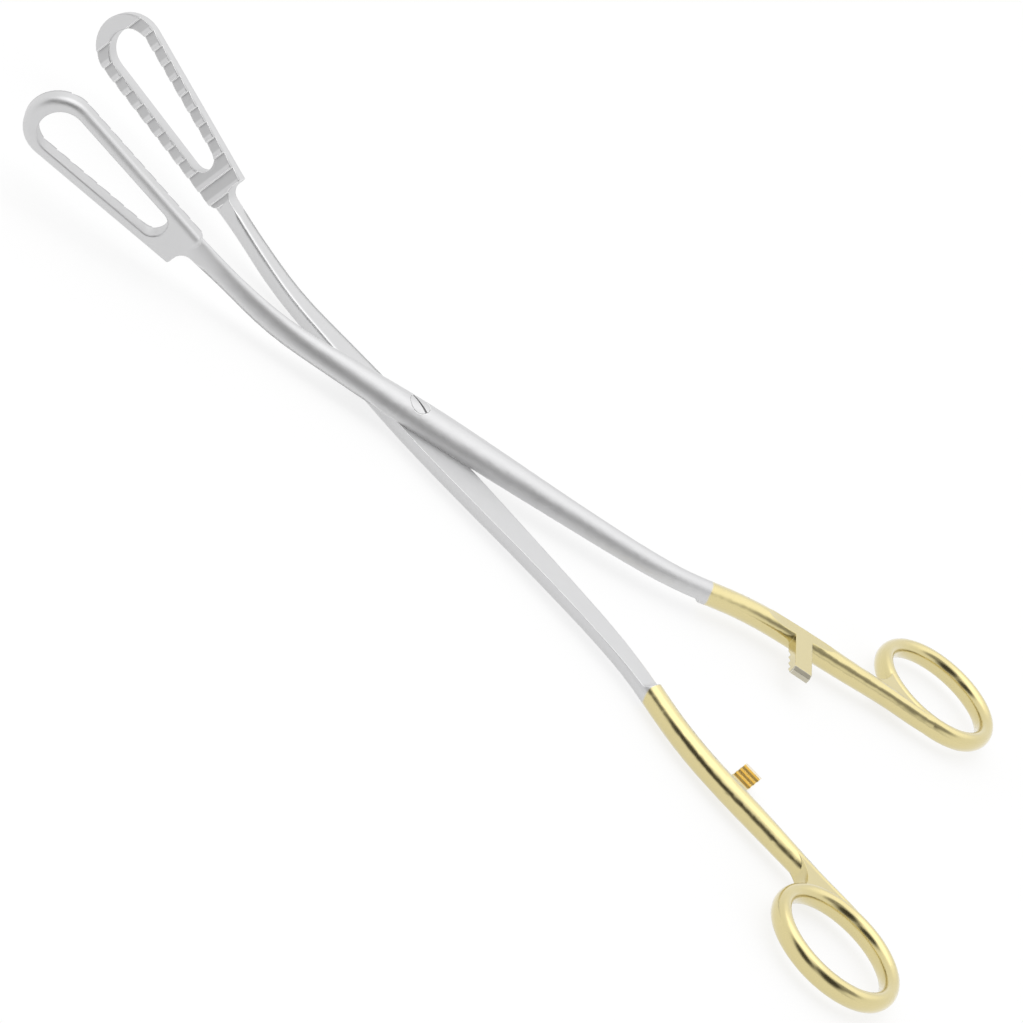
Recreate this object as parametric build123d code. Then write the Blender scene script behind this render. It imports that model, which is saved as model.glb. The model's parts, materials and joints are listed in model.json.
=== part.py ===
from build123d import *
import math
import os

# Ovum forceps, modelled open. Millimetres.
# X runs along the instrument with the handles at +X and the jaws at -X, Y is the opening
# direction and Z is up, along the hinge axis. The origin is the middle of the box round the
# open forceps, at its base. Each arm is drawn closed, with the hinge axis and the lap plane
# at zero, then turned open, and the whole is moved onto its base.

# Opening
open_half_angle = 13.2

# Jaws: fenestrated loops that rise out of the lap plane
jaw_root_x = 63.0
jaw_rise_angle = 11.6
jaw_rise_x = 38.0
jaw_rise_radius = 79.0
jaw_length = 48.6
jaw_tip_radius = 8.0
jaw_root_half_height = 5.0
root_step_half_height = 5.1
jaw_thickness = 4.2
jaw_face_gap = 0.1
jaw_back_round = 1.7
jaw_face_round = 0.3
jaw_root_round = 1.9
root_trim = 1.9
root_overlap = 5.3
root_run = 1.0
root_bar_half_width = 1.95
root_bar_half_height = 4.7
fenestra_start = 8.0
fenestra_root_radius = 3.2
fenestra_tip_radius = 5.3
tip_web = 3.6
fenestra_edge_round = 0.5
serration_first_wall = 1.5
serration_pitch = 3.9
serration_depth = 0.65
serration_floor = 3.2
tip_smooth_length = 3.0

# Shank: an oval bar, its centre line and its half sizes at named places
neck_x = 56.0
neck_y = -1.7
neck_half_width = 2.1
neck_half_height = 4.2
crossing_x = 34.0
crossing_y = -1.45
crossing_half_width = 2.9
crossing_half_height = 4.3
joint_x = 5.0
joint_y = 0.6
joint_half_width = 5.3
joint_half_height = 4.6
waist_x = 46.0
waist_y = 1.6
waist_half_width = 3.9
waist_half_height = 4.15
bend_x = 70.0
bend_y = 3.4
bend_z = 0.3
bend_half_width = 3.25
bend_half_height = 3.45
handle_x = 82.0
handle_y = 6.3
handle_z = 1.0
handle_radius = 2.8
flare_x = 96.0
flare_y = 10.9
flare_z = 0.9
flare_radius = 2.9
section_count = 18
heading_step = 0.5

# Lap: each arm keeps half its section between the jaw root and the handle step, and the
# step runs a little askew, further along the arm on its inner side
lap_end_x = 82.0
lap_end_skew = 18.0
lap_clearance = 0.02
mill_root_radius = 2.5
mill_step_radius = 2.0

# Finger ring and the web that fills its crotch
ring_x = 150.4
ring_line_y = 14.5
ring_half_length = 15.1
ring_half_width = 13.7
ring_tube_half_width = 2.0
ring_tube_half_height = 2.6
ring_inset = 0.2
web_half_height = 2.3
web_inner_reach = 0.9
web_start = 22.0
web_notch = 15.0
web_notch_rise = 4.8
web_end_angle = 200.0

# Ratchet bar
ratchet_x = 109.7
ratchet_y = 12.6
ratchet_z = 0.6
ratchet_width = 4.7
ratchet_end_y = -3.0
ratchet_back_z = 2.9
ratchet_tip_clearance = 0.1
ratchet_bevel = 0.8
ratchet_flat_length = 9.0
ratchet_flat_runout = 25.0
tooth_count = 4
tooth_pitch = 2.4
tooth_depth = 0.8

# Pivot screw
head_diameter = 5.3
head_thickness = 1.9
head_clearance = 0.05
journal_diameter = 4.2
journal_clearance = 0.03
thread_diameter = 3.6
seat_clearance = 0.03
slot_width = 0.6
slot_depth = 0.8
slot_angle = -25.0

# Cutting shapes run past the arm by this much
cut_reach = 15.0

tilt = math.radians(jaw_rise_angle)
bend_reach = jaw_rise_radius * math.tan(tilt / 2)
jaw_mid_y = -jaw_face_gap - jaw_thickness / 2
shank_start_x = -jaw_root_x - root_overlap
root_end_x = -jaw_root_x + root_run


def rise(x):
    """Height of the lap plane at x: level, an arc, then a straight slope to the jaw tip."""
    reach = -x - (jaw_rise_x - bend_reach)
    if reach <= 0:
        return 0.0
    if reach < jaw_rise_radius * math.sin(tilt):
        return jaw_rise_radius - math.sqrt(jaw_rise_radius**2 - reach**2)
    return math.tan(tilt) * (-x - jaw_rise_x)


def smooth(places, values, x):
    """Value at x of the monotone curve through the values at the named places."""
    steps = [b - a for a, b in zip(places, places[1:])]
    slopes = [(b - a) / h for a, b, h in zip(values, values[1:], steps)]
    tangents = [slopes[0]]
    for left, right, h0, h1 in zip(slopes, slopes[1:], steps, steps[1:]):
        w0 = 2 * h1 + h0
        w1 = h1 + 2 * h0
        tangents.append((w0 + w1) / (w0 / left + w1 / right) if left * right > 0 else 0.0)
    tangents.append(0.0)
    k = 0
    while k < len(steps) - 1 and x > places[k + 1]:
        k += 1
    h = steps[k]
    t = (x - places[k]) / h
    start = (2 * t**3 - 3 * t**2 + 1) * values[k] + (t**3 - 2 * t**2 + t) * h * tangents[k]
    end = (3 * t**2 - 2 * t**3) * values[k + 1] + (t**3 - t**2) * h * tangents[k + 1]
    return start + end


stations = [
    (shank_start_x, jaw_mid_y, 0, root_bar_half_width, root_bar_half_height),
    (root_end_x, jaw_mid_y, 0, root_bar_half_width, root_bar_half_height),
    (-neck_x, neck_y, 0, neck_half_width, neck_half_height),
    (-crossing_x, crossing_y, 0, crossing_half_width, crossing_half_height),
    (joint_x, joint_y, 0, joint_half_width, joint_half_height),
    (waist_x, waist_y, 0, waist_half_width, waist_half_height),
    (bend_x, bend_y, bend_z, bend_half_width, bend_half_height),
    (handle_x, handle_y, handle_z, handle_radius, handle_radius),
    (flare_x, flare_y, flare_z, flare_radius, flare_radius),
    (ratchet_x, ratchet_y, ratchet_z, flare_radius, flare_radius),
    (ring_x, ring_line_y, 0, ring_tube_half_width - ring_inset, ring_tube_half_height - ring_inset),
]


def station(column, x):
    return smooth([s[0] for s in stations], [s[column] for s in stations], x)


def centre(x, side):
    """Centre of the shank at x; side is +1 on the upper arm and -1 on the lower one."""
    return Vector(x, station(1, x), rise(x) + side * station(2, x))


def shank(side):
    """Whole oval bar from inside the jaw root to the finger ring."""
    spacing = (ring_x + neck_x) / (section_count - 1)
    places = [shank_start_x, root_end_x] + [-neck_x + spacing * k for k in range(section_count)]
    sections = []
    for x in places:
        ahead = centre(min(x + heading_step, ring_x), side)
        run = ahead - centre(max(x - heading_step, shank_start_x), side)
        plane = Plane(origin=centre(x, side), x_dir=(-run.Y, run.X, 0), z_dir=run)
        sections.append(plane * Ellipse(station(3, x), station(4, x)))
    return loft(sections)


def jaw_frame(z_dir):
    """Frame at the jaw root on the gripping face, x towards the jaw tip."""
    return Plane(
        origin=(-jaw_root_x, -jaw_face_gap, rise(-jaw_root_x)),
        x_dir=(-math.cos(tilt), 0, math.sin(tilt)),
        z_dir=z_dir,
    )


def jaw(side):
    """Loop with a rounded back, a fenestra and a saw-toothed gripping face."""
    tip_x = jaw_length - jaw_tip_radius
    shoulder_y = side * (jaw_root_half_height - jaw_root_round)
    step_y = -side * (root_step_half_height - jaw_root_round)
    hole_tip_x = jaw_length - tip_web - fenestra_tip_radius
    with BuildPart() as loop:
        with BuildSketch(jaw_frame((0, 1, 0))):
            with Locations((tip_x, 0)):
                Circle(jaw_tip_radius)
            with Locations((jaw_root_round, shoulder_y), (jaw_root_round, step_y)):
                Circle(jaw_root_round)
            make_hull()
        extrude(amount=-jaw_thickness)
        with BuildSketch(jaw_frame((0, 1, 0))):
            with Locations((fenestra_start + fenestra_root_radius, 0)):
                Circle(fenestra_root_radius)
            with Locations((hole_tip_x, 0)):
                Circle(fenestra_tip_radius)
            make_hull()
        extrude(amount=-jaw_thickness, mode=Mode.SUBTRACT)
        back = loop.faces().sort_by(Axis.Y)[0]
        fillet(back.outer_wire().edges(), radius=jaw_back_round)
        back = loop.faces().sort_by(Axis.Y)[0]
        fillet(back.inner_wires()[0].edges(), radius=fenestra_edge_round)
        face = loop.faces().sort_by(Axis.Y)[-1]
        fillet(face.outer_wire().edges() + face.inner_wires()[0].edges(), radius=jaw_face_round)
    return loop.part


def serrations():
    """Transverse grooves, each with a sloping floor and a steep wall that faces the root."""
    cuts = []
    count = int((jaw_length - tip_smooth_length - serration_first_wall) / serration_pitch) + 1
    profile_plane = jaw_frame((math.sin(tilt), 0, math.cos(tilt)))
    for k in range(count):
        wall = serration_first_wall + k * serration_pitch
        wedge = Polyline((wall - serration_floor, 0), (wall, serration_depth), (wall, 0), close=True)
        cuts.append(extrude(profile_plane * make_face(wedge), amount=jaw_tip_radius, both=True))
    return cuts


def mill(side):
    """Space cleared beside the lap plane, from the jaw root to the handle step."""
    clear = side * lap_clearance / 2
    along = Vector(-math.cos(tilt), 0, math.sin(tilt))
    root = Vector(-jaw_root_x, 0, rise(-jaw_root_x) + clear) + along * root_trim
    down = Vector(math.sin(tilt), 0, math.cos(tilt)) * (-side * cut_reach)
    arc_start = Vector(-jaw_rise_x - bend_reach * math.cos(tilt), 0, bend_reach * math.sin(tilt) + clear)
    arc_end = Vector(-jaw_rise_x + bend_reach, 0, clear)
    middle = Vector(0, 0, clear)
    away = Vector(0, 0, -side * cut_reach)
    edges = [
        Line(root, arc_start),
        TangentArc(arc_start, arc_end, tangent=-along),
        Line(arc_end, middle),
        Line(middle, middle + away),
        Line(middle + away, root + down),
        Line(root + down, root),
    ]
    profile = make_face(edges)
    profile = fillet(profile.vertices().sort_by_distance(root)[0], radius=mill_root_radius)
    jaw_half = extrude(profile, amount=cut_reach, dir=(0, 1, 0), both=True)
    end = Vector(lap_end_x, handle_y, clear)
    start = Vector(arc_end.X, handle_y, clear)
    profile = make_face(Polyline(start, end, end + away, start + away, close=True))
    profile = fillet(profile.vertices().sort_by_distance(end)[0], radius=mill_step_radius)
    skew = math.radians(lap_end_skew)
    handle_half = extrude(profile, amount=cut_reach, dir=(-math.sin(skew), math.cos(skew), 0), both=True)
    return jaw_half + handle_half


def finger_ring():
    """Oval ring, tangent to the shank line, with a flat web that rounds out the crotch."""
    ring_y = ring_line_y + ring_half_width
    path = (Pos(ring_x, ring_y, 0) * Ellipse(ring_half_length, ring_half_width)).edges()[0]
    section = Plane(origin=path @ 0, x_dir=(1, 0, 0), z_dir=path % 0)
    tube = sweep(section * Ellipse(ring_tube_half_width, ring_tube_half_height), path=path)
    start = Vector(ring_x - web_start, ring_line_y)
    notch = Vector(ring_x - web_notch, ring_line_y + web_notch_rise)
    end_angle = math.radians(web_end_angle)
    end_x = ring_x + ring_half_length * math.cos(end_angle)
    end = Vector(end_x, ring_y + ring_half_width * math.sin(end_angle))
    middle = Vector(ring_x, ring_y)
    foot = Vector(ring_x, ring_line_y)
    web = make_face([ThreePointArc(start, notch, end), Polyline(end, middle, foot, start)])
    hole = Ellipse(ring_half_length - web_inner_reach, ring_half_width - web_inner_reach)
    return tube + extrude(web - Pos(middle) * hole, amount=web_half_height, both=True)


def ratchet(side):
    """Bar from the shank across the midline, with teeth on the side of the lap plane."""
    tip_z = side * ratchet_tip_clearance
    back_z = side * ratchet_back_z
    profile = make_face(
        Polyline(
            (0, ratchet_y, tip_z),
            (0, ratchet_y, back_z),
            (0, ratchet_end_y + ratchet_bevel, back_z),
            (0, ratchet_end_y, back_z - side * ratchet_bevel),
            (0, ratchet_end_y, tip_z),
            close=True,
        )
    )
    bar = Pos(ratchet_x - ratchet_width / 2, 0, 0) * extrude(profile, amount=ratchet_width, dir=(1, 0, 0))
    teeth = []
    for k in range(tooth_count):
        y = ratchet_end_y + k * tooth_pitch
        root = (0, y, tip_z + side * tooth_depth)
        notch = make_face(Polyline((0, y, tip_z), (0, y + tooth_pitch, tip_z), root, close=True))
        teeth.append(Pos(ratchet_x, 0, 0) * extrude(notch, amount=ratchet_width, dir=(1, 0, 0), both=True))
    return bar - teeth


def ratchet_flat(side):
    """Flat that runs from the back of the ratchet bar over the shank and fades out at both ends."""
    back_z = side * ratchet_back_z
    left = Vector(ratchet_x - ratchet_flat_length / 2, ratchet_y, back_z)
    right = Vector(ratchet_x + ratchet_flat_length / 2, ratchet_y, back_z)
    climb = Vector(ratchet_flat_runout, 0, side * ratchet_flat_runout)
    fade = Vector(-ratchet_flat_runout, 0, side * ratchet_flat_runout)
    profile = make_face(
        [
            Line(left, right),
            TangentArc(right, right + climb, tangent=(1, 0, 0)),
            Line(right + climb, left + fade),
            TangentArc(left, left + fade, tangent=(-1, 0, 0)),
        ]
    )
    return extrude(profile, amount=cut_reach / 2, dir=(0, 1, 0), both=True)


def forging(side):
    """One arm, jaw to finger ring, before the pivot is bored; and its uncut bar."""
    bar = shank(side)
    arm = bar + jaw(side) - serrations() - mill(side) - ratchet_flat(side)
    arm = arm + finger_ring() + ratchet(side)
    return arm, bar


def pivot_bore():
    """Journal bore and counterbore of the upper arm."""
    bore = Cylinder(journal_diameter / 2 + journal_clearance, 2 * cut_reach)
    seat_z = joint_half_height - head_thickness
    sink = Pos(0, 0, seat_z) * Cylinder(
        head_diameter / 2 + head_clearance, cut_reach, align=(Align.CENTER, Align.CENTER, Align.MIN)
    )
    return bore + sink


def pivot_screw(upper_bar, lower_bar):
    """Slotted screw, its head and its end dressed flush with the arms."""
    up = (Align.CENTER, Align.CENTER, Align.MIN)
    seat_z = joint_half_height - head_thickness + seat_clearance
    lap_z = -lap_clearance / 2
    head = Pos(0, 0, seat_z) * Cylinder(head_diameter / 2, cut_reach, align=up) & upper_bar
    journal = Pos(0, 0, lap_z) * Cylinder(journal_diameter / 2, seat_z - lap_z, align=up)
    thread = Pos(0, 0, lap_z) * Cylinder(
        thread_diameter / 2, cut_reach, align=(Align.CENTER, Align.CENTER, Align.MAX)
    ) & lower_bar
    slot = Pos(0, 0, joint_half_height - slot_depth) * Rot(0, 0, slot_angle) * Box(
        2 * head_diameter, slot_width, cut_reach, align=up
    )
    return head + journal + thread - slot


upper_arm, upper_bar = forging(1)
lower_arm, lower_bar = forging(-1)
turn_upper = Rot(0, 0, open_half_angle)
turn_lower = Rot(0, 0, -open_half_angle)
upper_bar = turn_upper * upper_bar
lower_bar = turn_lower * mirror(lower_bar, about=Plane.XZ)
upper_arm = turn_upper * upper_arm - pivot_bore()
lower_arm = turn_lower * mirror(lower_arm, about=Plane.XZ) - Cylinder(thread_diameter / 2, 2 * cut_reach)

nodes = {
    "upper_arm": upper_arm,
    "lower_arm": lower_arm,
    "pivot_screw": pivot_screw(upper_bar, lower_bar),
}

boxes = [shape.bounding_box() for shape in nodes.values()]
middle_x = (min(box.min.X for box in boxes) + max(box.max.X for box in boxes)) / 2
middle_y = (min(box.min.Y for box in boxes) + max(box.max.Y for box in boxes)) / 2
base_z = min(box.min.Z for box in boxes)
to_base = Pos(-middle_x, -middle_y, -base_z)
os.makedirs("parts", exist_ok=True)
for name, shape in nodes.items():
    export_step(to_base * shape, f"parts/{name}.step")
    print(name, "valid", shape.is_valid, "solids", len(shape.solids()), "volume", round(shape.volume, 1))
print("hinge axis at", to_base.position)
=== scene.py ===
import json
import math

import bpy
from bpy.props import FloatProperty, FloatVectorProperty, PointerProperty
from mathutils import Matrix, Vector

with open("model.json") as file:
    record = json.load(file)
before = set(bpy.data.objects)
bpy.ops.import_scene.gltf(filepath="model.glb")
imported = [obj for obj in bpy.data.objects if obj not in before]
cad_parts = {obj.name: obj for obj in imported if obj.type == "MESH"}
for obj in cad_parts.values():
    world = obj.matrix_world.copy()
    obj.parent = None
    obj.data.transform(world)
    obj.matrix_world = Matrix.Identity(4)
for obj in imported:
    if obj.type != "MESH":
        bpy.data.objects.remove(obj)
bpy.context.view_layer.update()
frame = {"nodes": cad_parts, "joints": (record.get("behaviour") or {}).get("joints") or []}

bl_info = {
    "name": "Ovum forceps looks",
    "version": (1, 0, 0),
    "blender": (4, 5, 0),
    "location": "3D View > Sidebar > Forceps",
    "description": "Satin steel, gold-plated handles, stage and camera for the ovum forceps",
    "category": "Object",
}

MM = 0.001
HINGE = Vector(frame["joints"][0]["pos_m"])
ARMS = {"upper_arm": 1, "lower_arm": -1}

# Satin finish: fineness of its noises, and how far roughness strays from its set value
GRAIN_DETAIL = 3.0
GRAIN_ROUGHNESS = 0.6
CLOUDS_PER_GRAIN = 1 / 24
CLOUD_DETAIL = 2.0
WAVE_DETAIL = 1.5
UNEVENNESS = 0.08

# Share of the full colour in the darker places of each finish: random clouds of the satin, and painted
# shade on the jaw's tooth floors, the bare bevel and the ratchet gaps
CLOUDED_STEEL = 0.97
CLOUDED_GOLD = 0.95
CLOUDED_SCREW = 0.95
TOOTH_FLOOR_PAINTED_SHADE = 0.80
BARE_BEVEL_PAINTED_SHADE = 0.7
TOOTH_GAP_PAINTED_SHADE = 0.45

# Dressed edges: cosines of the normal's turn where the edges' painted highlight and smoother gloss begin
# and where they are full
EDGE_TURN = (0.995, 0.88)
EDGE_SAMPLES = 8
SCREW_EDGE_ROUND = 0.1 * MM

# Clear gloss over the plating
COAT_ROUGHNESS = 0.2
COAT_IOR = 1.75

# The line where the plating starts wavers a little
WAVER_SCALE = 260.0
WAVER_DETAIL = 3.0
WAVER_WIDTH = 0.8 * MM

# Places on a closed arm, from the hinge: each pair runs from none of a finish, painted shade included,
# to all of it
# Depths under the jaw's face where the tooth floors' painted shade fades in, and deeper down fades out
TOOTH_FLOOR_TOP = (0.04 * MM, 0.14 * MM)
TOOTH_FLOOR_BOTTOM = (0.9 * MM, 0.5 * MM)
JAW_BLEND = 0.5 * MM
BARE_BLEND = 0.1 * MM
STEP_BLEND = 0.25 * MM
BELOW_FLAT = (-0.1 * MM, -0.25 * MM)
BAR_ACROSS = (7.0 * MM, 6.0 * MM)
BAR_ALONG = (100.0 * MM, 102.0 * MM)
TOOTH_BLEND = 0.4 * MM
GAP_BLEND = 0.3 * MM
NECK_FROM_JOINT = (-7.0 * MM, -12.0 * MM)
NECK_FROM_JAW = (-61.0 * MM, -58.0 * MM)

# Dark openings of the light tent: angles in degrees, half sizes as sines, depth from none to black
TENT_OPENINGS = (
    {"heading": -126, "height": 27, "slant": 40, "half_width": 0.50, "half_height": 0.32, "depth": 1.00},
    {"heading": -76, "height": 34, "slant": 0, "half_width": 0.42, "half_height": 0.50, "depth": 1.00},
    {"heading": -42, "height": 46, "slant": 25, "half_width": 0.38, "half_height": 0.34, "depth": 0.74},
    {"heading": -60, "height": -2, "slant": 0, "half_width": 0.45, "half_height": 0.24, "depth": 0.32},
)
OPENING_EDGE = (1.35, 0.55)
OPENING_FRONT = (0.0, 0.1)
ROOF_SINES = (0.5, 0.85)

# Floor and camera
FLOOR_SIZE = 6.0
PAPER_ROUGHNESS = 0.9
SENSOR_WIDTH = 36.0
CLIP_START = 0.05


# Sizes and colours that a user would change


class ForcepsFinish(bpy.types.PropertyGroup):
    """Finish of the steel and of the plated handles"""

    steel_colour: FloatVectorProperty(
        name="Steel", description="Colour of the satin steel", subtype="COLOR",
        size=3, min=0, max=1, default=(0.675, 0.675, 0.68),
    )
    # Painted highlight: the light colour put on the sharp edges of the steel
    edge_highlight_colour: FloatVectorProperty(
        name="Edges", description="Colour of the polished edges of the steel", subtype="COLOR",
        size=3, min=0, max=1, default=(0.95, 0.95, 0.95),
    )
    gold_colour: FloatVectorProperty(
        name="Gold", description="Colour of the plating on the handles", subtype="COLOR",
        size=3, min=0, max=1, default=(0.70, 0.598, 0.272),
    )
    # Painted reflection: the warmer gold that stands for the light the ratchet teeth throw on each other
    tooth_reflection_colour: FloatVectorProperty(
        name="Teeth", description="Deeper gold of the ratchet teeth", subtype="COLOR",
        size=3, min=0, max=1, default=(0.92, 0.69, 0.24),
    )
    steel_roughness: FloatProperty(
        name="Steel roughness", description="Blur of the reflections in the steel",
        subtype="FACTOR", min=0, max=1, default=0.45,
    )
    gold_roughness: FloatProperty(
        name="Gold roughness", description="Blur of the reflections in the plating and on edges",
        subtype="FACTOR", min=0, max=1, default=0.19,
    )
    plating_coat: FloatProperty(
        name="Plating coat", description="Clear gloss over the plating",
        subtype="FACTOR", min=0, max=1, default=1.0,
    )
    # How much of the painted highlight the sharp edges get
    edge_highlight_share: FloatProperty(
        name="Edge shine", description="Share of the edge colour on the dressed edges",
        subtype="FACTOR", min=0, max=1, default=1.0,
    )
    edge_round: FloatProperty(
        name="Edge round", description="Radius to which sharp edges are dressed",
        subtype="DISTANCE", unit="LENGTH", default=0.3 * MM,
    )
    neck_round: FloatProperty(
        name="Neck round", description="Radius of the dressed edges between the joint and the jaws",
        subtype="DISTANCE", unit="LENGTH", default=1.9 * MM,
    )
    grain_size: FloatProperty(
        name="Grain", description="Size of the grain of the satin finish",
        subtype="DISTANCE", unit="LENGTH", default=0.35 * MM,
    )
    grain_height: FloatProperty(
        name="Grain height", description="Depth of the grain of the satin finish",
        subtype="DISTANCE", unit="LENGTH", default=0.0024 * MM,
    )
    wave_scale: FloatProperty(
        name="Wave scale", description="Number of shallow waves in each metre", default=170.0,
    )
    wave_height: FloatProperty(
        name="Wave height", description="Depth of the shallow waves that hand polishing leaves",
        subtype="DISTANCE", unit="LENGTH", default=0.14 * MM,
    )
    open_half_angle: FloatProperty(
        name="Half opening", description="Angle of each arm from the middle line",
        subtype="ANGLE", default=math.radians(13.2),
    )
    jaw_gap: FloatProperty(
        name="Jaw gap", description="Distance of a closed jaw's toothed face from the middle plane",
        subtype="DISTANCE", unit="LENGTH", default=0.1 * MM,
    )
    jaw_end: FloatProperty(
        name="Jaw end", description="Place along the closed arm where the jaw's toothed face ends",
        subtype="DISTANCE", unit="LENGTH", default=-63.0 * MM,
    )
    plating_start_upper: FloatProperty(
        name="Plating start, upper", description="Hinge to the upper arm's plating at joint level",
        subtype="DISTANCE", unit="LENGTH", default=83.3 * MM,
    )
    plating_start_lower: FloatProperty(
        name="Plating start, lower", description="Hinge to the lower arm's plating at joint level",
        subtype="DISTANCE", unit="LENGTH", default=81.2 * MM,
    )
    plating_slope: FloatProperty(
        name="Plating slope", description="Way of the plating's edge to the rings for each unit down",
        default=0.28,
    )
    plating_fade: FloatProperty(
        name="Plating fade", description="Width of the band in which the plating thins out",
        subtype="DISTANCE", unit="LENGTH", default=0.7 * MM,
    )
    step_place: FloatProperty(
        name="Step", description="Distance from the hinge to the handle step, at the arm's middle",
        subtype="DISTANCE", unit="LENGTH", default=82.0 * MM,
    )
    step_across: FloatProperty(
        name="Step across", description="Middle of the arm at the handle step, from the middle line",
        subtype="DISTANCE", unit="LENGTH", default=6.3 * MM,
    )
    step_skew: FloatProperty(
        name="Step skew", description="Turn of the handle step from square",
        subtype="ANGLE", default=math.radians(18.0),
    )
    tooth_foot: FloatProperty(
        name="Tooth foot", description="Height of the gaps between the lower ratchet teeth",
        subtype="DISTANCE", unit="LENGTH", default=-0.9 * MM,
    )
    bare_end: FloatProperty(
        name="Bare bevel", description="Place across of the worn bevel on the upper ratchet bar",
        subtype="DISTANCE", unit="LENGTH", default=-2.15 * MM,
    )
    bare_plating: FloatProperty(
        name="Worn plating", description="Share of the plating left on the worn bevel",
        subtype="FACTOR", min=0, max=1, default=0.35,
    )


class ForcepsStage(bpy.types.PropertyGroup):
    """Camera, floor and lights"""

    camera_place: FloatVectorProperty(
        name="Camera", description="Place of the camera", subtype="XYZ", unit="LENGTH",
        size=3, default=(-0.10061, -1.06682, 0.56648),
    )
    camera_heading: FloatProperty(
        name="Heading", description="Direction of the view round the upright axis",
        subtype="ANGLE", default=math.radians(84.261),
    )
    camera_pitch: FloatProperty(
        name="Pitch", description="Angle of the view below level",
        subtype="ANGLE", default=math.radians(27.728),
    )
    camera_roll: FloatProperty(
        name="Roll", description="Turn of the camera about its view",
        subtype="ANGLE", default=math.radians(42.498),
    )
    camera_lens: FloatProperty(
        name="Lens", description="Focal length in millimetres", min=10, default=191.33,
    )
    floor_colour: FloatVectorProperty(
        name="Floor", description="Colour of the pale floor", subtype="COLOR",
        size=3, min=0, max=1, default=(0.22, 0.22, 0.22),
    )
    floor_glow: FloatProperty(
        name="Floor glow", description="Light that the lit table gives off by itself",
        min=0, max=2, default=0.78,
    )
    tent_colour: FloatVectorProperty(
        name="Light tent", description="Colour of the light tent round the floor", subtype="COLOR",
        size=3, min=0, max=1, default=(1.0, 1.0, 1.0),
    )
    opening_colour: FloatVectorProperty(
        name="Tent openings", description="Colour of the tent's soft dark openings", subtype="COLOR",
        size=3, min=0, max=1, default=(0.05, 0.048, 0.045),
    )
    overhead_gain: FloatProperty(
        name="Overhead", description="How much brighter the tent's roof is than its walls", default=1.36,
    )
    softbox_place: FloatVectorProperty(
        name="Softbox", description="Place of the overhead softbox", subtype="XYZ", unit="LENGTH",
        size=3, default=(-0.35, 0.05, 1.3),
    )
    softbox_size: FloatProperty(
        name="Softbox size", description="Side of the square softbox",
        subtype="DISTANCE", unit="LENGTH", default=1.2,
    )
    softbox_power: FloatProperty(
        name="Softbox power", description="Power of the overhead softbox", unit="POWER", default=1.6,
    )


def finish():
    """Values of the finish."""
    return bpy.context.scene.forceps_finish


def studio():
    """Values of the camera, floor and lights."""
    return bpy.context.scene.forceps_stage


# Nodes


def feed(tree, socket, value):
    """Link an input to a socket, or set it to a number, direction or colour."""
    if isinstance(value, bpy.types.NodeSocket):
        tree.links.new(value, socket)
    elif socket.type == "RGBA":
        socket.default_value = (*value, 1.0)
    else:
        socket.default_value = value


def new_group(name, inputs, outputs):
    """Empty shader node group with the named sockets, and its two ends."""
    group = bpy.data.node_groups.new(name, "ShaderNodeTree")
    for label, kind in inputs:
        group.interface.new_socket(name=label, in_out="INPUT", socket_type=kind)
    for label, kind in outputs:
        group.interface.new_socket(name=label, in_out="OUTPUT", socket_type=kind)
    start = group.nodes.new("NodeGroupInput")
    end = group.nodes.new("NodeGroupOutput")
    return group, start, end


def maths(tree, operation, *values, clamp=False):
    """Math node; each value is a number or a socket."""
    node = tree.nodes.new("ShaderNodeMath")
    node.operation = operation
    node.use_clamp = clamp
    for socket, value in zip(node.inputs, values):
        feed(tree, socket, value)
    return node.outputs[0]


def product(tree, first, *others):
    """Product of sockets or numbers."""
    result = first
    for value in others:
        result = maths(tree, "MULTIPLY", result, value)
    return result


def ramp(tree, value, low, high, out_low=0.0, out_high=1.0):
    """Smooth step of a value between two places."""
    node = tree.nodes.new("ShaderNodeMapRange")
    node.interpolation_type = "SMOOTHSTEP"
    feed(tree, node.inputs["Value"], value)
    node.inputs["From Min"].default_value = low
    node.inputs["From Max"].default_value = high
    node.inputs["To Min"].default_value = out_low
    node.inputs["To Max"].default_value = out_high
    return node.outputs["Result"]


def noise(tree, vector, scale, detail, roughness=0.5):
    """Value of a noise texture."""
    node = tree.nodes.new("ShaderNodeTexNoise")
    feed(tree, node.inputs["Vector"], vector)
    feed(tree, node.inputs["Scale"], scale)
    node.inputs["Detail"].default_value = detail
    node.inputs["Roughness"].default_value = roughness
    return node.outputs["Fac"]


def dot(tree, first, second):
    """Dot product of two directions; the second may be fixed."""
    node = tree.nodes.new("ShaderNodeVectorMath")
    node.operation = "DOT_PRODUCT"
    feed(tree, node.inputs[0], first)
    feed(tree, node.inputs[1], second)
    return node.outputs["Value"]


def mix(tree, kind, factor, first, second):
    """Mix of two values of one kind, RGBA or VALUE."""
    node = tree.nodes.new("ShaderNodeMix")
    node.data_type = {"RGBA": "RGBA", "VALUE": "FLOAT"}[kind]
    feed(tree, node.inputs["Factor"], factor)
    for label, value in (("A", first), ("B", second)):
        socket = [s for s in node.inputs if s.name == label and s.type == kind][0]
        feed(tree, socket, value)
    return [s for s in node.outputs if s.type == kind][0]


def mix_colour(tree, factor, first, second):
    """Mix of two colours; each is a tuple or a socket."""
    return mix(tree, "RGBA", factor, first, second)


def mix_value(tree, factor, first, second):
    """Mix of two numbers or sockets."""
    return mix(tree, "VALUE", factor, first, second)


def shade(colour, share):
    """A colour darkened to a share of itself."""
    return [share * c for c in colour]


# Node groups that the materials share


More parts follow.
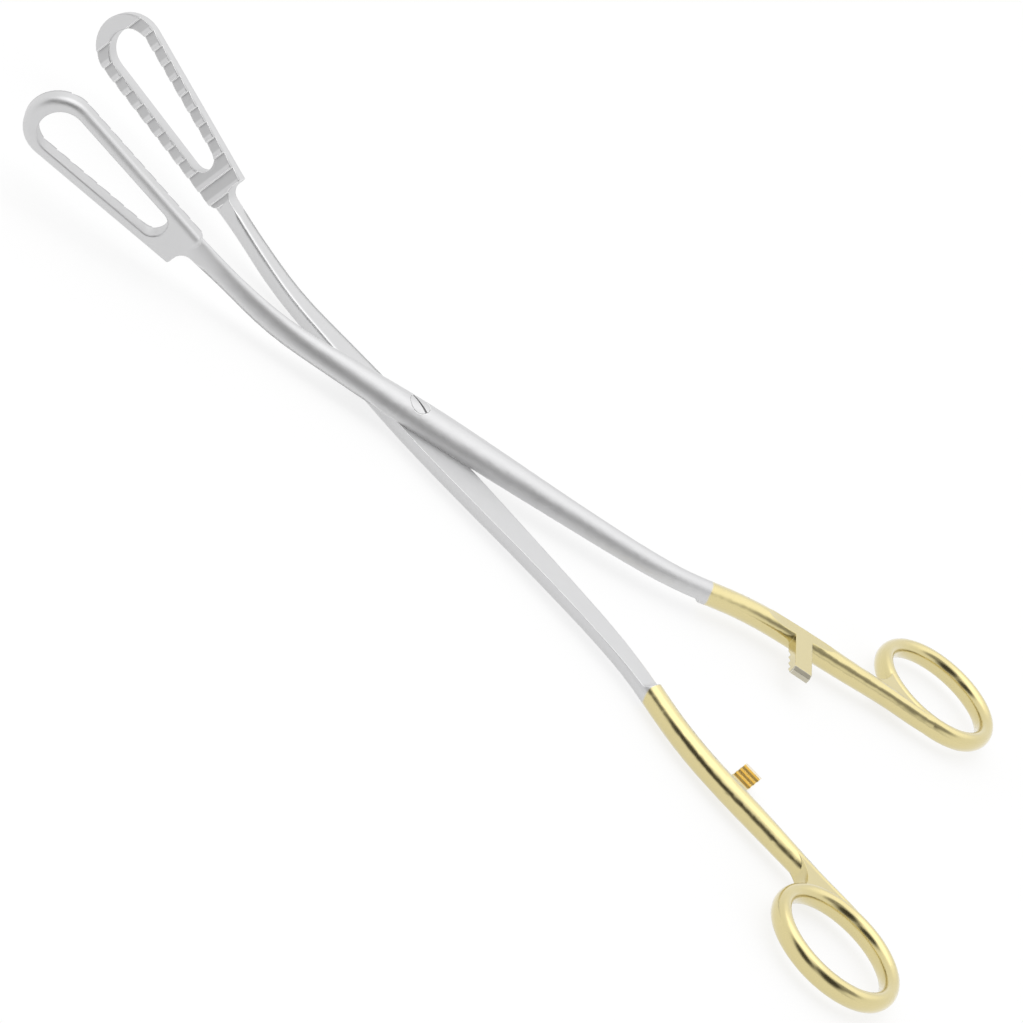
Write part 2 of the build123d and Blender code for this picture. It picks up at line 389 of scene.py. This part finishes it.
def satin_group():
    """Grain and uneven polish of a blasted and brushed metal surface."""
    found = bpy.data.node_groups.get("satin metal")
    if found:
        return found
    group, start, end = new_group(
        "satin metal",
        [("Vector", "NodeSocketVector"), ("Grain Scale", "NodeSocketFloat"),
         ("Roughness", "NodeSocketFloat"), ("Unevenness", "NodeSocketFloat")],
        [("Roughness", "NodeSocketFloat"), ("Height", "NodeSocketFloat"), ("Cloud", "NodeSocketFloat")],
    )
    vector = start.outputs["Vector"]
    scale = start.outputs["Grain Scale"]
    grain = noise(group, vector, scale, GRAIN_DETAIL, GRAIN_ROUGHNESS)
    cloud = noise(group, vector, product(group, scale, CLOUDS_PER_GRAIN), CLOUD_DETAIL)
    off_middle = maths(group, "SUBTRACT", maths(group, "ADD", grain, cloud), 1.0)
    spread = product(group, off_middle, start.outputs["Unevenness"])
    rough = maths(group, "ADD", start.outputs["Roughness"], spread, clamp=True)
    group.links.new(rough, end.inputs["Roughness"])
    group.links.new(grain, end.inputs["Height"])
    group.links.new(cloud, end.inputs["Cloud"])
    return group


def arm_places_group():
    """Distances from the hinge along, across and above a closed arm, from a point of the open one."""
    found = bpy.data.node_groups.get("closed arm places")
    if found:
        return found
    labels = ("Along", "Across", "Height")
    group, start, end = new_group(
        "closed arm places",
        [("Vector", "NodeSocketVector"), ("Angle", "NodeSocketFloat")],
        [(label, "NodeSocketFloat") for label in labels],
    )
    shift = group.nodes.new("ShaderNodeVectorMath")
    shift.operation = "SUBTRACT"
    group.links.new(start.outputs["Vector"], shift.inputs[0])
    shift.inputs[1].default_value = HINGE
    turn = group.nodes.new("ShaderNodeVectorRotate")
    turn.rotation_type = "Z_AXIS"
    group.links.new(shift.outputs[0], turn.inputs["Vector"])
    group.links.new(start.outputs["Angle"], turn.inputs["Angle"])
    split = group.nodes.new("ShaderNodeSeparateXYZ")
    group.links.new(turn.outputs[0], split.inputs[0])
    for axis, label in zip("XYZ", labels):
        group.links.new(split.outputs[axis], end.inputs[label])
    return group


# Materials


def start_material(name):
    """Material with a metallic Principled BSDF and the satin group."""
    material = bpy.data.materials.new(name)
    material.use_nodes = True
    tree = material.node_tree
    shader = tree.nodes["Principled BSDF"]
    shader.inputs["Metallic"].default_value = 1.0
    place = tree.nodes.new("ShaderNodeTexCoord").outputs["Object"]
    satin = tree.nodes.new("ShaderNodeGroup")
    satin.node_tree = satin_group()
    tree.links.new(place, satin.inputs["Vector"])
    satin.inputs["Grain Scale"].default_value = 1.0 / finish().grain_size
    satin.inputs["Unevenness"].default_value = UNEVENNESS
    tree.links.new(satin.outputs["Roughness"], shader.inputs["Roughness"])
    return material, tree, shader, place, satin


def dressed_edges(tree, radius):
    """Normal of the surface with its sharp edges rounded, and how near an edge is."""
    dressed = tree.nodes.new("ShaderNodeBevel")
    dressed.samples = EDGE_SAMPLES
    feed(tree, dressed.inputs["Radius"], radius)
    straight = tree.nodes.new("ShaderNodeNewGeometry").outputs["Normal"]
    turn = dot(tree, dressed.outputs["Normal"], straight)
    return dressed.outputs["Normal"], ramp(tree, turn, *EDGE_TURN)


def add_bump(tree, shader, normal, grain, place):
    """Bump of the satin grain and of the shallow waves of hand polishing."""
    look = finish()
    waves = product(tree, noise(tree, place, look.wave_scale, WAVE_DETAIL), look.wave_height)
    height = maths(tree, "ADD", product(tree, grain, look.grain_height), waves)
    bump = tree.nodes.new("ShaderNodeBump")
    bump.inputs["Distance"].default_value = 1.0
    bump.inputs["Strength"].default_value = 1.0
    tree.links.new(normal, bump.inputs["Normal"])
    tree.links.new(height, bump.inputs["Height"])
    tree.links.new(bump.outputs["Normal"], shader.inputs["Normal"])


def arm_places(tree, place, side):
    """Distances from the hinge along, across to the arm's own side, and above a closed arm."""
    places = tree.nodes.new("ShaderNodeGroup")
    places.node_tree = arm_places_group()
    tree.links.new(place, places.inputs["Vector"])
    places.inputs["Angle"].default_value = -side * finish().open_half_angle
    across = product(tree, places.outputs["Across"], side)
    return places.outputs["Along"], across, places.outputs["Height"]


def plating_share(tree, place, along, height, side):
    """Share of the plating, which starts at a sloping line that wavers a little."""
    look = finish()
    stray = maths(tree, "SUBTRACT", noise(tree, place, WAVER_SCALE, WAVER_DETAIL), 0.5)
    sloped = maths(tree, "ADD", along, product(tree, height, look.plating_slope))
    edge = maths(tree, "ADD", sloped, product(tree, stray, WAVER_WIDTH))
    start = look.plating_start_upper if side > 0 else look.plating_start_lower
    return ramp(tree, edge, start, start + look.plating_fade)


def tooth_floor_shade_share(tree, along, across):
    """Share of the painted shade on the floors between the teeth of the jaw's face."""
    look = finish()
    depth = maths(tree, "SUBTRACT", -look.jaw_gap, across)
    under_face = ramp(tree, depth, *TOOTH_FLOOR_TOP)
    over_back = ramp(tree, depth, *TOOTH_FLOOR_BOTTOM)
    in_jaw = ramp(tree, along, look.jaw_end, look.jaw_end - JAW_BLEND)
    return product(tree, under_face, over_back, in_jaw)


def wear_and_shade_upper_bar(tree, across, steel, plated):
    """Steel and plating with the worn bevel at the end of the upper ratchet bar, whose bare steel is
    darkened as painted shade.
    """
    look = finish()
    bare = ramp(tree, across, look.bare_end, look.bare_end - BARE_BLEND)
    # The plating is worn off the bevel; its bare steel is darkened there as painted shade
    shaded_bare_steel = shade(look.steel_colour, BARE_BEVEL_PAINTED_SHADE)
    steel = mix_colour(tree, product(tree, bare, plated), steel, shaded_bare_steel)
    return steel, product(tree, plated, mix_value(tree, bare, 1.0, look.bare_plating))


def clear_lower_flat(tree, along, across, height, plated):
    """Plating that stays off the lower arm's lap flat, up to the handle step."""
    look = finish()
    off_middle = maths(tree, "SUBTRACT", across, look.step_across)
    squared = maths(tree, "ADD", along, product(tree, off_middle, math.tan(look.step_skew)))
    past_step = ramp(tree, squared, look.step_place, look.step_place + STEP_BLEND)
    below_flat = ramp(tree, height, *BELOW_FLAT)
    return product(tree, plated, maths(tree, "MAXIMUM", past_step, below_flat))


def paint_lower_teeth_light(tree, along, across, height, gold):
    """Gold with a painted warm reflection on the lower ratchet teeth and painted shade in the gaps
    between them.
    """
    look = finish()
    on_bar = product(tree, ramp(tree, across, *BAR_ACROSS), ramp(tree, along, *BAR_ALONG))
    on_teeth = ramp(tree, height, look.tooth_foot - TOOTH_BLEND, look.tooth_foot)
    in_gap = ramp(tree, height, look.tooth_foot + GAP_BLEND, look.tooth_foot)
    # Painted shade darkens the warm gold in the gaps between the teeth
    tooth = mix_colour(tree, in_gap, look.tooth_reflection_colour, shade(look.tooth_reflection_colour, TOOTH_GAP_PAINTED_SHADE))
    return mix_colour(tree, product(tree, on_bar, on_teeth), gold, tooth)


def arm_material(name, side):
    """Satin steel that turns to gold plating at the handle step."""
    look = finish()
    material, tree, shader, place, satin = start_material(name)
    cloud = satin.outputs["Cloud"]
    along, across, height = arm_places(tree, place, side)
    plated = plating_share(tree, place, along, height, side)
    steel = mix_colour(tree, cloud, shade(look.steel_colour, CLOUDED_STEEL), look.steel_colour)
    gold = mix_colour(tree, cloud, shade(look.gold_colour, CLOUDED_GOLD), look.gold_colour)
    # Painted shade: the steel is darkened on the floors between the jaw's teeth
    floors = tooth_floor_shade_share(tree, along, across)
    steel = mix_colour(tree, floors, steel, shade(look.steel_colour, TOOTH_FLOOR_PAINTED_SHADE))
    if side > 0:
        steel, plated = wear_and_shade_upper_bar(tree, across, steel, plated)
    else:
        plated = clear_lower_flat(tree, along, across, height, plated)
        gold = paint_lower_teeth_light(tree, along, across, height, gold)

    # Sharp edges of the bare steel get a painted highlight, a lighter colour near each edge; the neck
    # gets a wider round and no painted highlight
    in_neck = product(tree, ramp(tree, along, *NECK_FROM_JOINT), ramp(tree, along, *NECK_FROM_JAW))
    radius = mix_value(tree, in_neck, look.edge_round, look.neck_round)
    normal, near_edge = dressed_edges(tree, radius)
    painted_edge_highlight = product(tree, near_edge, maths(tree, "SUBTRACT", 1.0, in_neck), look.edge_highlight_share)
    colour = mix_colour(tree, plated, steel, gold)
    edge_highlight_colour = mix_colour(tree, plated, look.edge_highlight_colour, gold)
    tree.links.new(mix_colour(tree, painted_edge_highlight, colour, edge_highlight_colour), shader.inputs["Base Color"])

    steel_rough = mix_value(tree, near_edge, look.steel_roughness, look.gold_roughness)
    feed(tree, satin.inputs["Roughness"], mix_value(tree, plated, steel_rough, look.gold_roughness))
    tree.links.new(product(tree, plated, look.plating_coat), shader.inputs["Coat Weight"])
    shader.inputs["Coat Roughness"].default_value = COAT_ROUGHNESS
    shader.inputs["Coat IOR"].default_value = COAT_IOR
    add_bump(tree, shader, normal, satin.outputs["Height"], place)
    return material


def screw_material():
    """Turned and dressed steel of the pivot screw."""
    look = finish()
    material, tree, shader, place, satin = start_material("screw steel")
    satin.inputs["Roughness"].default_value = look.steel_roughness
    clouded = shade(look.steel_colour, CLOUDED_SCREW)
    steel = mix_colour(tree, satin.outputs["Cloud"], clouded, look.steel_colour)
    tree.links.new(steel, shader.inputs["Base Color"])
    normal = dressed_edges(tree, SCREW_EDGE_ROUND)[0]
    add_bump(tree, shader, normal, satin.outputs["Height"], place)
    return material


def dress(piece, material):
    """Give a piece one material."""
    piece.data.materials.clear()
    piece.data.materials.append(material)


# Stage


def add_area_light(name, place, target, size, power):
    """Soft square light that faces a point."""
    data = bpy.data.lights.new(name, "AREA")
    data.energy = power
    data.shape = "SQUARE"
    data.size = size
    light = bpy.data.objects.new(name, data)
    bpy.context.scene.collection.objects.link(light)
    light.location = place
    light.rotation_euler = (Vector(target) - Vector(place)).to_track_quat("-Z", "Y").to_euler()


def dark_opening(tree, direction, heading, height, slant, half_width, half_height, depth):
    """Share of one soft oval opening of the tent in a direction."""
    raised = Matrix.Rotation(math.radians(height), 3, "X")
    facing = Matrix.Rotation(math.radians(heading - 90), 3, "Z")
    slanted = Matrix.Rotation(-math.radians(slant), 3, "Y")
    right, forward, up = (facing @ raised @ slanted).transposed()
    shares = []
    for axis, reach in ((right, half_width), (up, half_height)):
        share = maths(tree, "DIVIDE", dot(tree, direction, axis), reach)
        shares.append(product(tree, share, share))
    radius = maths(tree, "SQRT", maths(tree, "ADD", *shares))
    in_front = ramp(tree, dot(tree, direction, forward), *OPENING_FRONT)
    return product(tree, in_front, ramp(tree, radius, *OPENING_EDGE, 0.0, depth))


def light_tent():
    """White light tent with a brighter roof and soft dark openings round the photographer."""
    stage = studio()
    world = bpy.data.worlds.new("light tent")
    world.use_nodes = True
    tree = world.node_tree
    direction = tree.nodes.new("ShaderNodeTexCoord").outputs["Generated"]
    mask, *others = [dark_opening(tree, direction, **opening) for opening in TENT_OPENINGS]
    for share in others:
        mask = maths(tree, "MAXIMUM", mask, share)
    roof = ramp(tree, dot(tree, direction, (0, 0, 1)), *ROOF_SINES, 1.0, stage.overhead_gain)
    lit = tree.nodes.new("ShaderNodeVectorMath")
    lit.operation = "SCALE"
    lit.inputs[0].default_value = stage.tent_colour
    tree.links.new(roof, lit.inputs["Scale"])
    colour = mix_colour(tree, mask, lit.outputs[0], stage.opening_colour)
    seen = tree.nodes.new("ShaderNodeLightPath").outputs["Is Camera Ray"]
    colour = mix_colour(tree, seen, colour, stage.tent_colour)
    tree.links.new(colour, tree.nodes["Background"].inputs["Color"])
    return world


def floor_paper():
    """Matt white paper of the lit table."""
    paper = bpy.data.materials.new("floor paper")
    paper.use_nodes = True
    shader = paper.node_tree.nodes["Principled BSDF"]
    shader.inputs["Base Color"].default_value = (*studio().floor_colour, 1)
    shader.inputs["Roughness"].default_value = PAPER_ROUGHNESS
    shader.inputs["Specular IOR Level"].default_value = 0.0
    shader.inputs["Emission Color"].default_value = (1, 1, 1, 1)
    shader.inputs["Emission Strength"].default_value = studio().floor_glow
    return paper


# Operators


class FORCEPS_OT_camera(bpy.types.Operator):
    """Stand the camera where the photograph was taken"""

    bl_idname = "forceps.camera"
    bl_label = "Camera"

    def execute(self, context):
        stage = studio()
        data = bpy.data.cameras.new("camera")
        data.sensor_width = SENSOR_WIDTH
        data.lens = stage.camera_lens
        data.clip_start = CLIP_START
        camera = bpy.data.objects.new("camera", data)
        context.scene.collection.objects.link(camera)
        level = math.cos(stage.camera_pitch)
        view = Vector((
            level * math.cos(stage.camera_heading),
            level * math.sin(stage.camera_heading),
            -math.sin(stage.camera_pitch),
        ))
        upright = view.to_track_quat("-Z", "Y").to_matrix()
        rolled = upright @ Matrix.Rotation(stage.camera_roll, 3, "Z")
        place = Vector(stage.camera_place)
        camera.matrix_world = Matrix.LocRotScale(place, rolled.to_quaternion(), None)
        context.scene.camera = camera
        return {"FINISHED"}


class FORCEPS_OT_stage(bpy.types.Operator):
    """Lay the pale floor and hang the studio lights"""

    bl_idname = "forceps.stage"
    bl_label = "Floor and lights"

    def execute(self, context):
        stage = studio()
        bpy.ops.object.select_all(action="DESELECT")
        bpy.ops.mesh.primitive_plane_add(size=FLOOR_SIZE, location=(0, 0, 0))
        floor = bpy.context.object
        floor.name = "floor"
        dress(floor, floor_paper())
        context.scene.world = light_tent()
        add_area_light(
            "overhead softbox", stage.softbox_place, (0, 0, 0), stage.softbox_size, stage.softbox_power
        )
        context.scene.view_settings.view_transform = "Standard"
        return {"FINISHED"}


class FORCEPS_OT_arms(bpy.types.Operator):
    """Give both arms their satin steel and gold plating"""

    bl_idname = "forceps.arms"
    bl_label = "Arms"

    def execute(self, context):
        for name, side in ARMS.items():
            dress(frame["nodes"][name], arm_material(name.replace("_", " ") + " finish", side))
        return {"FINISHED"}


class FORCEPS_OT_screw(bpy.types.Operator):
    """Give the pivot screw its dressed steel"""

    bl_idname = "forceps.screw"
    bl_label = "Pivot screw"

    def execute(self, context):
        dress(frame["nodes"]["pivot_screw"], screw_material())
        return {"FINISHED"}


class FORCEPS_PT_panel(bpy.types.Panel):
    """Looks of the ovum forceps"""

    bl_idname = "FORCEPS_PT_panel"
    bl_label = "Ovum forceps"
    bl_space_type = "VIEW_3D"
    bl_region_type = "UI"
    bl_category = "Forceps"

    def draw(self, context):
        for group in (context.scene.forceps_finish, context.scene.forceps_stage):
            box = self.layout.box()
            for key in group.__annotations__:
                box.prop(group, key)
        for operator in OPERATORS:
            self.layout.operator(operator.bl_idname)


OPERATORS = (FORCEPS_OT_camera, FORCEPS_OT_stage, FORCEPS_OT_arms, FORCEPS_OT_screw)
CLASSES = (ForcepsFinish, ForcepsStage, *OPERATORS, FORCEPS_PT_panel)


def register():
    for cls in CLASSES:
        bpy.utils.register_class(cls)
    bpy.types.Scene.forceps_finish = PointerProperty(type=ForcepsFinish)
    bpy.types.Scene.forceps_stage = PointerProperty(type=ForcepsStage)


def unregister():
    del bpy.types.Scene.forceps_stage
    del bpy.types.Scene.forceps_finish
    for cls in reversed(CLASSES):
        bpy.utils.unregister_class(cls)


def main():
    register()
    bpy.ops.forceps.camera()
    bpy.ops.forceps.stage()
    bpy.ops.forceps.arms()
    bpy.ops.forceps.screw()
    bpy.context.view_layer.update()


if __name__ == "__main__":
    main()
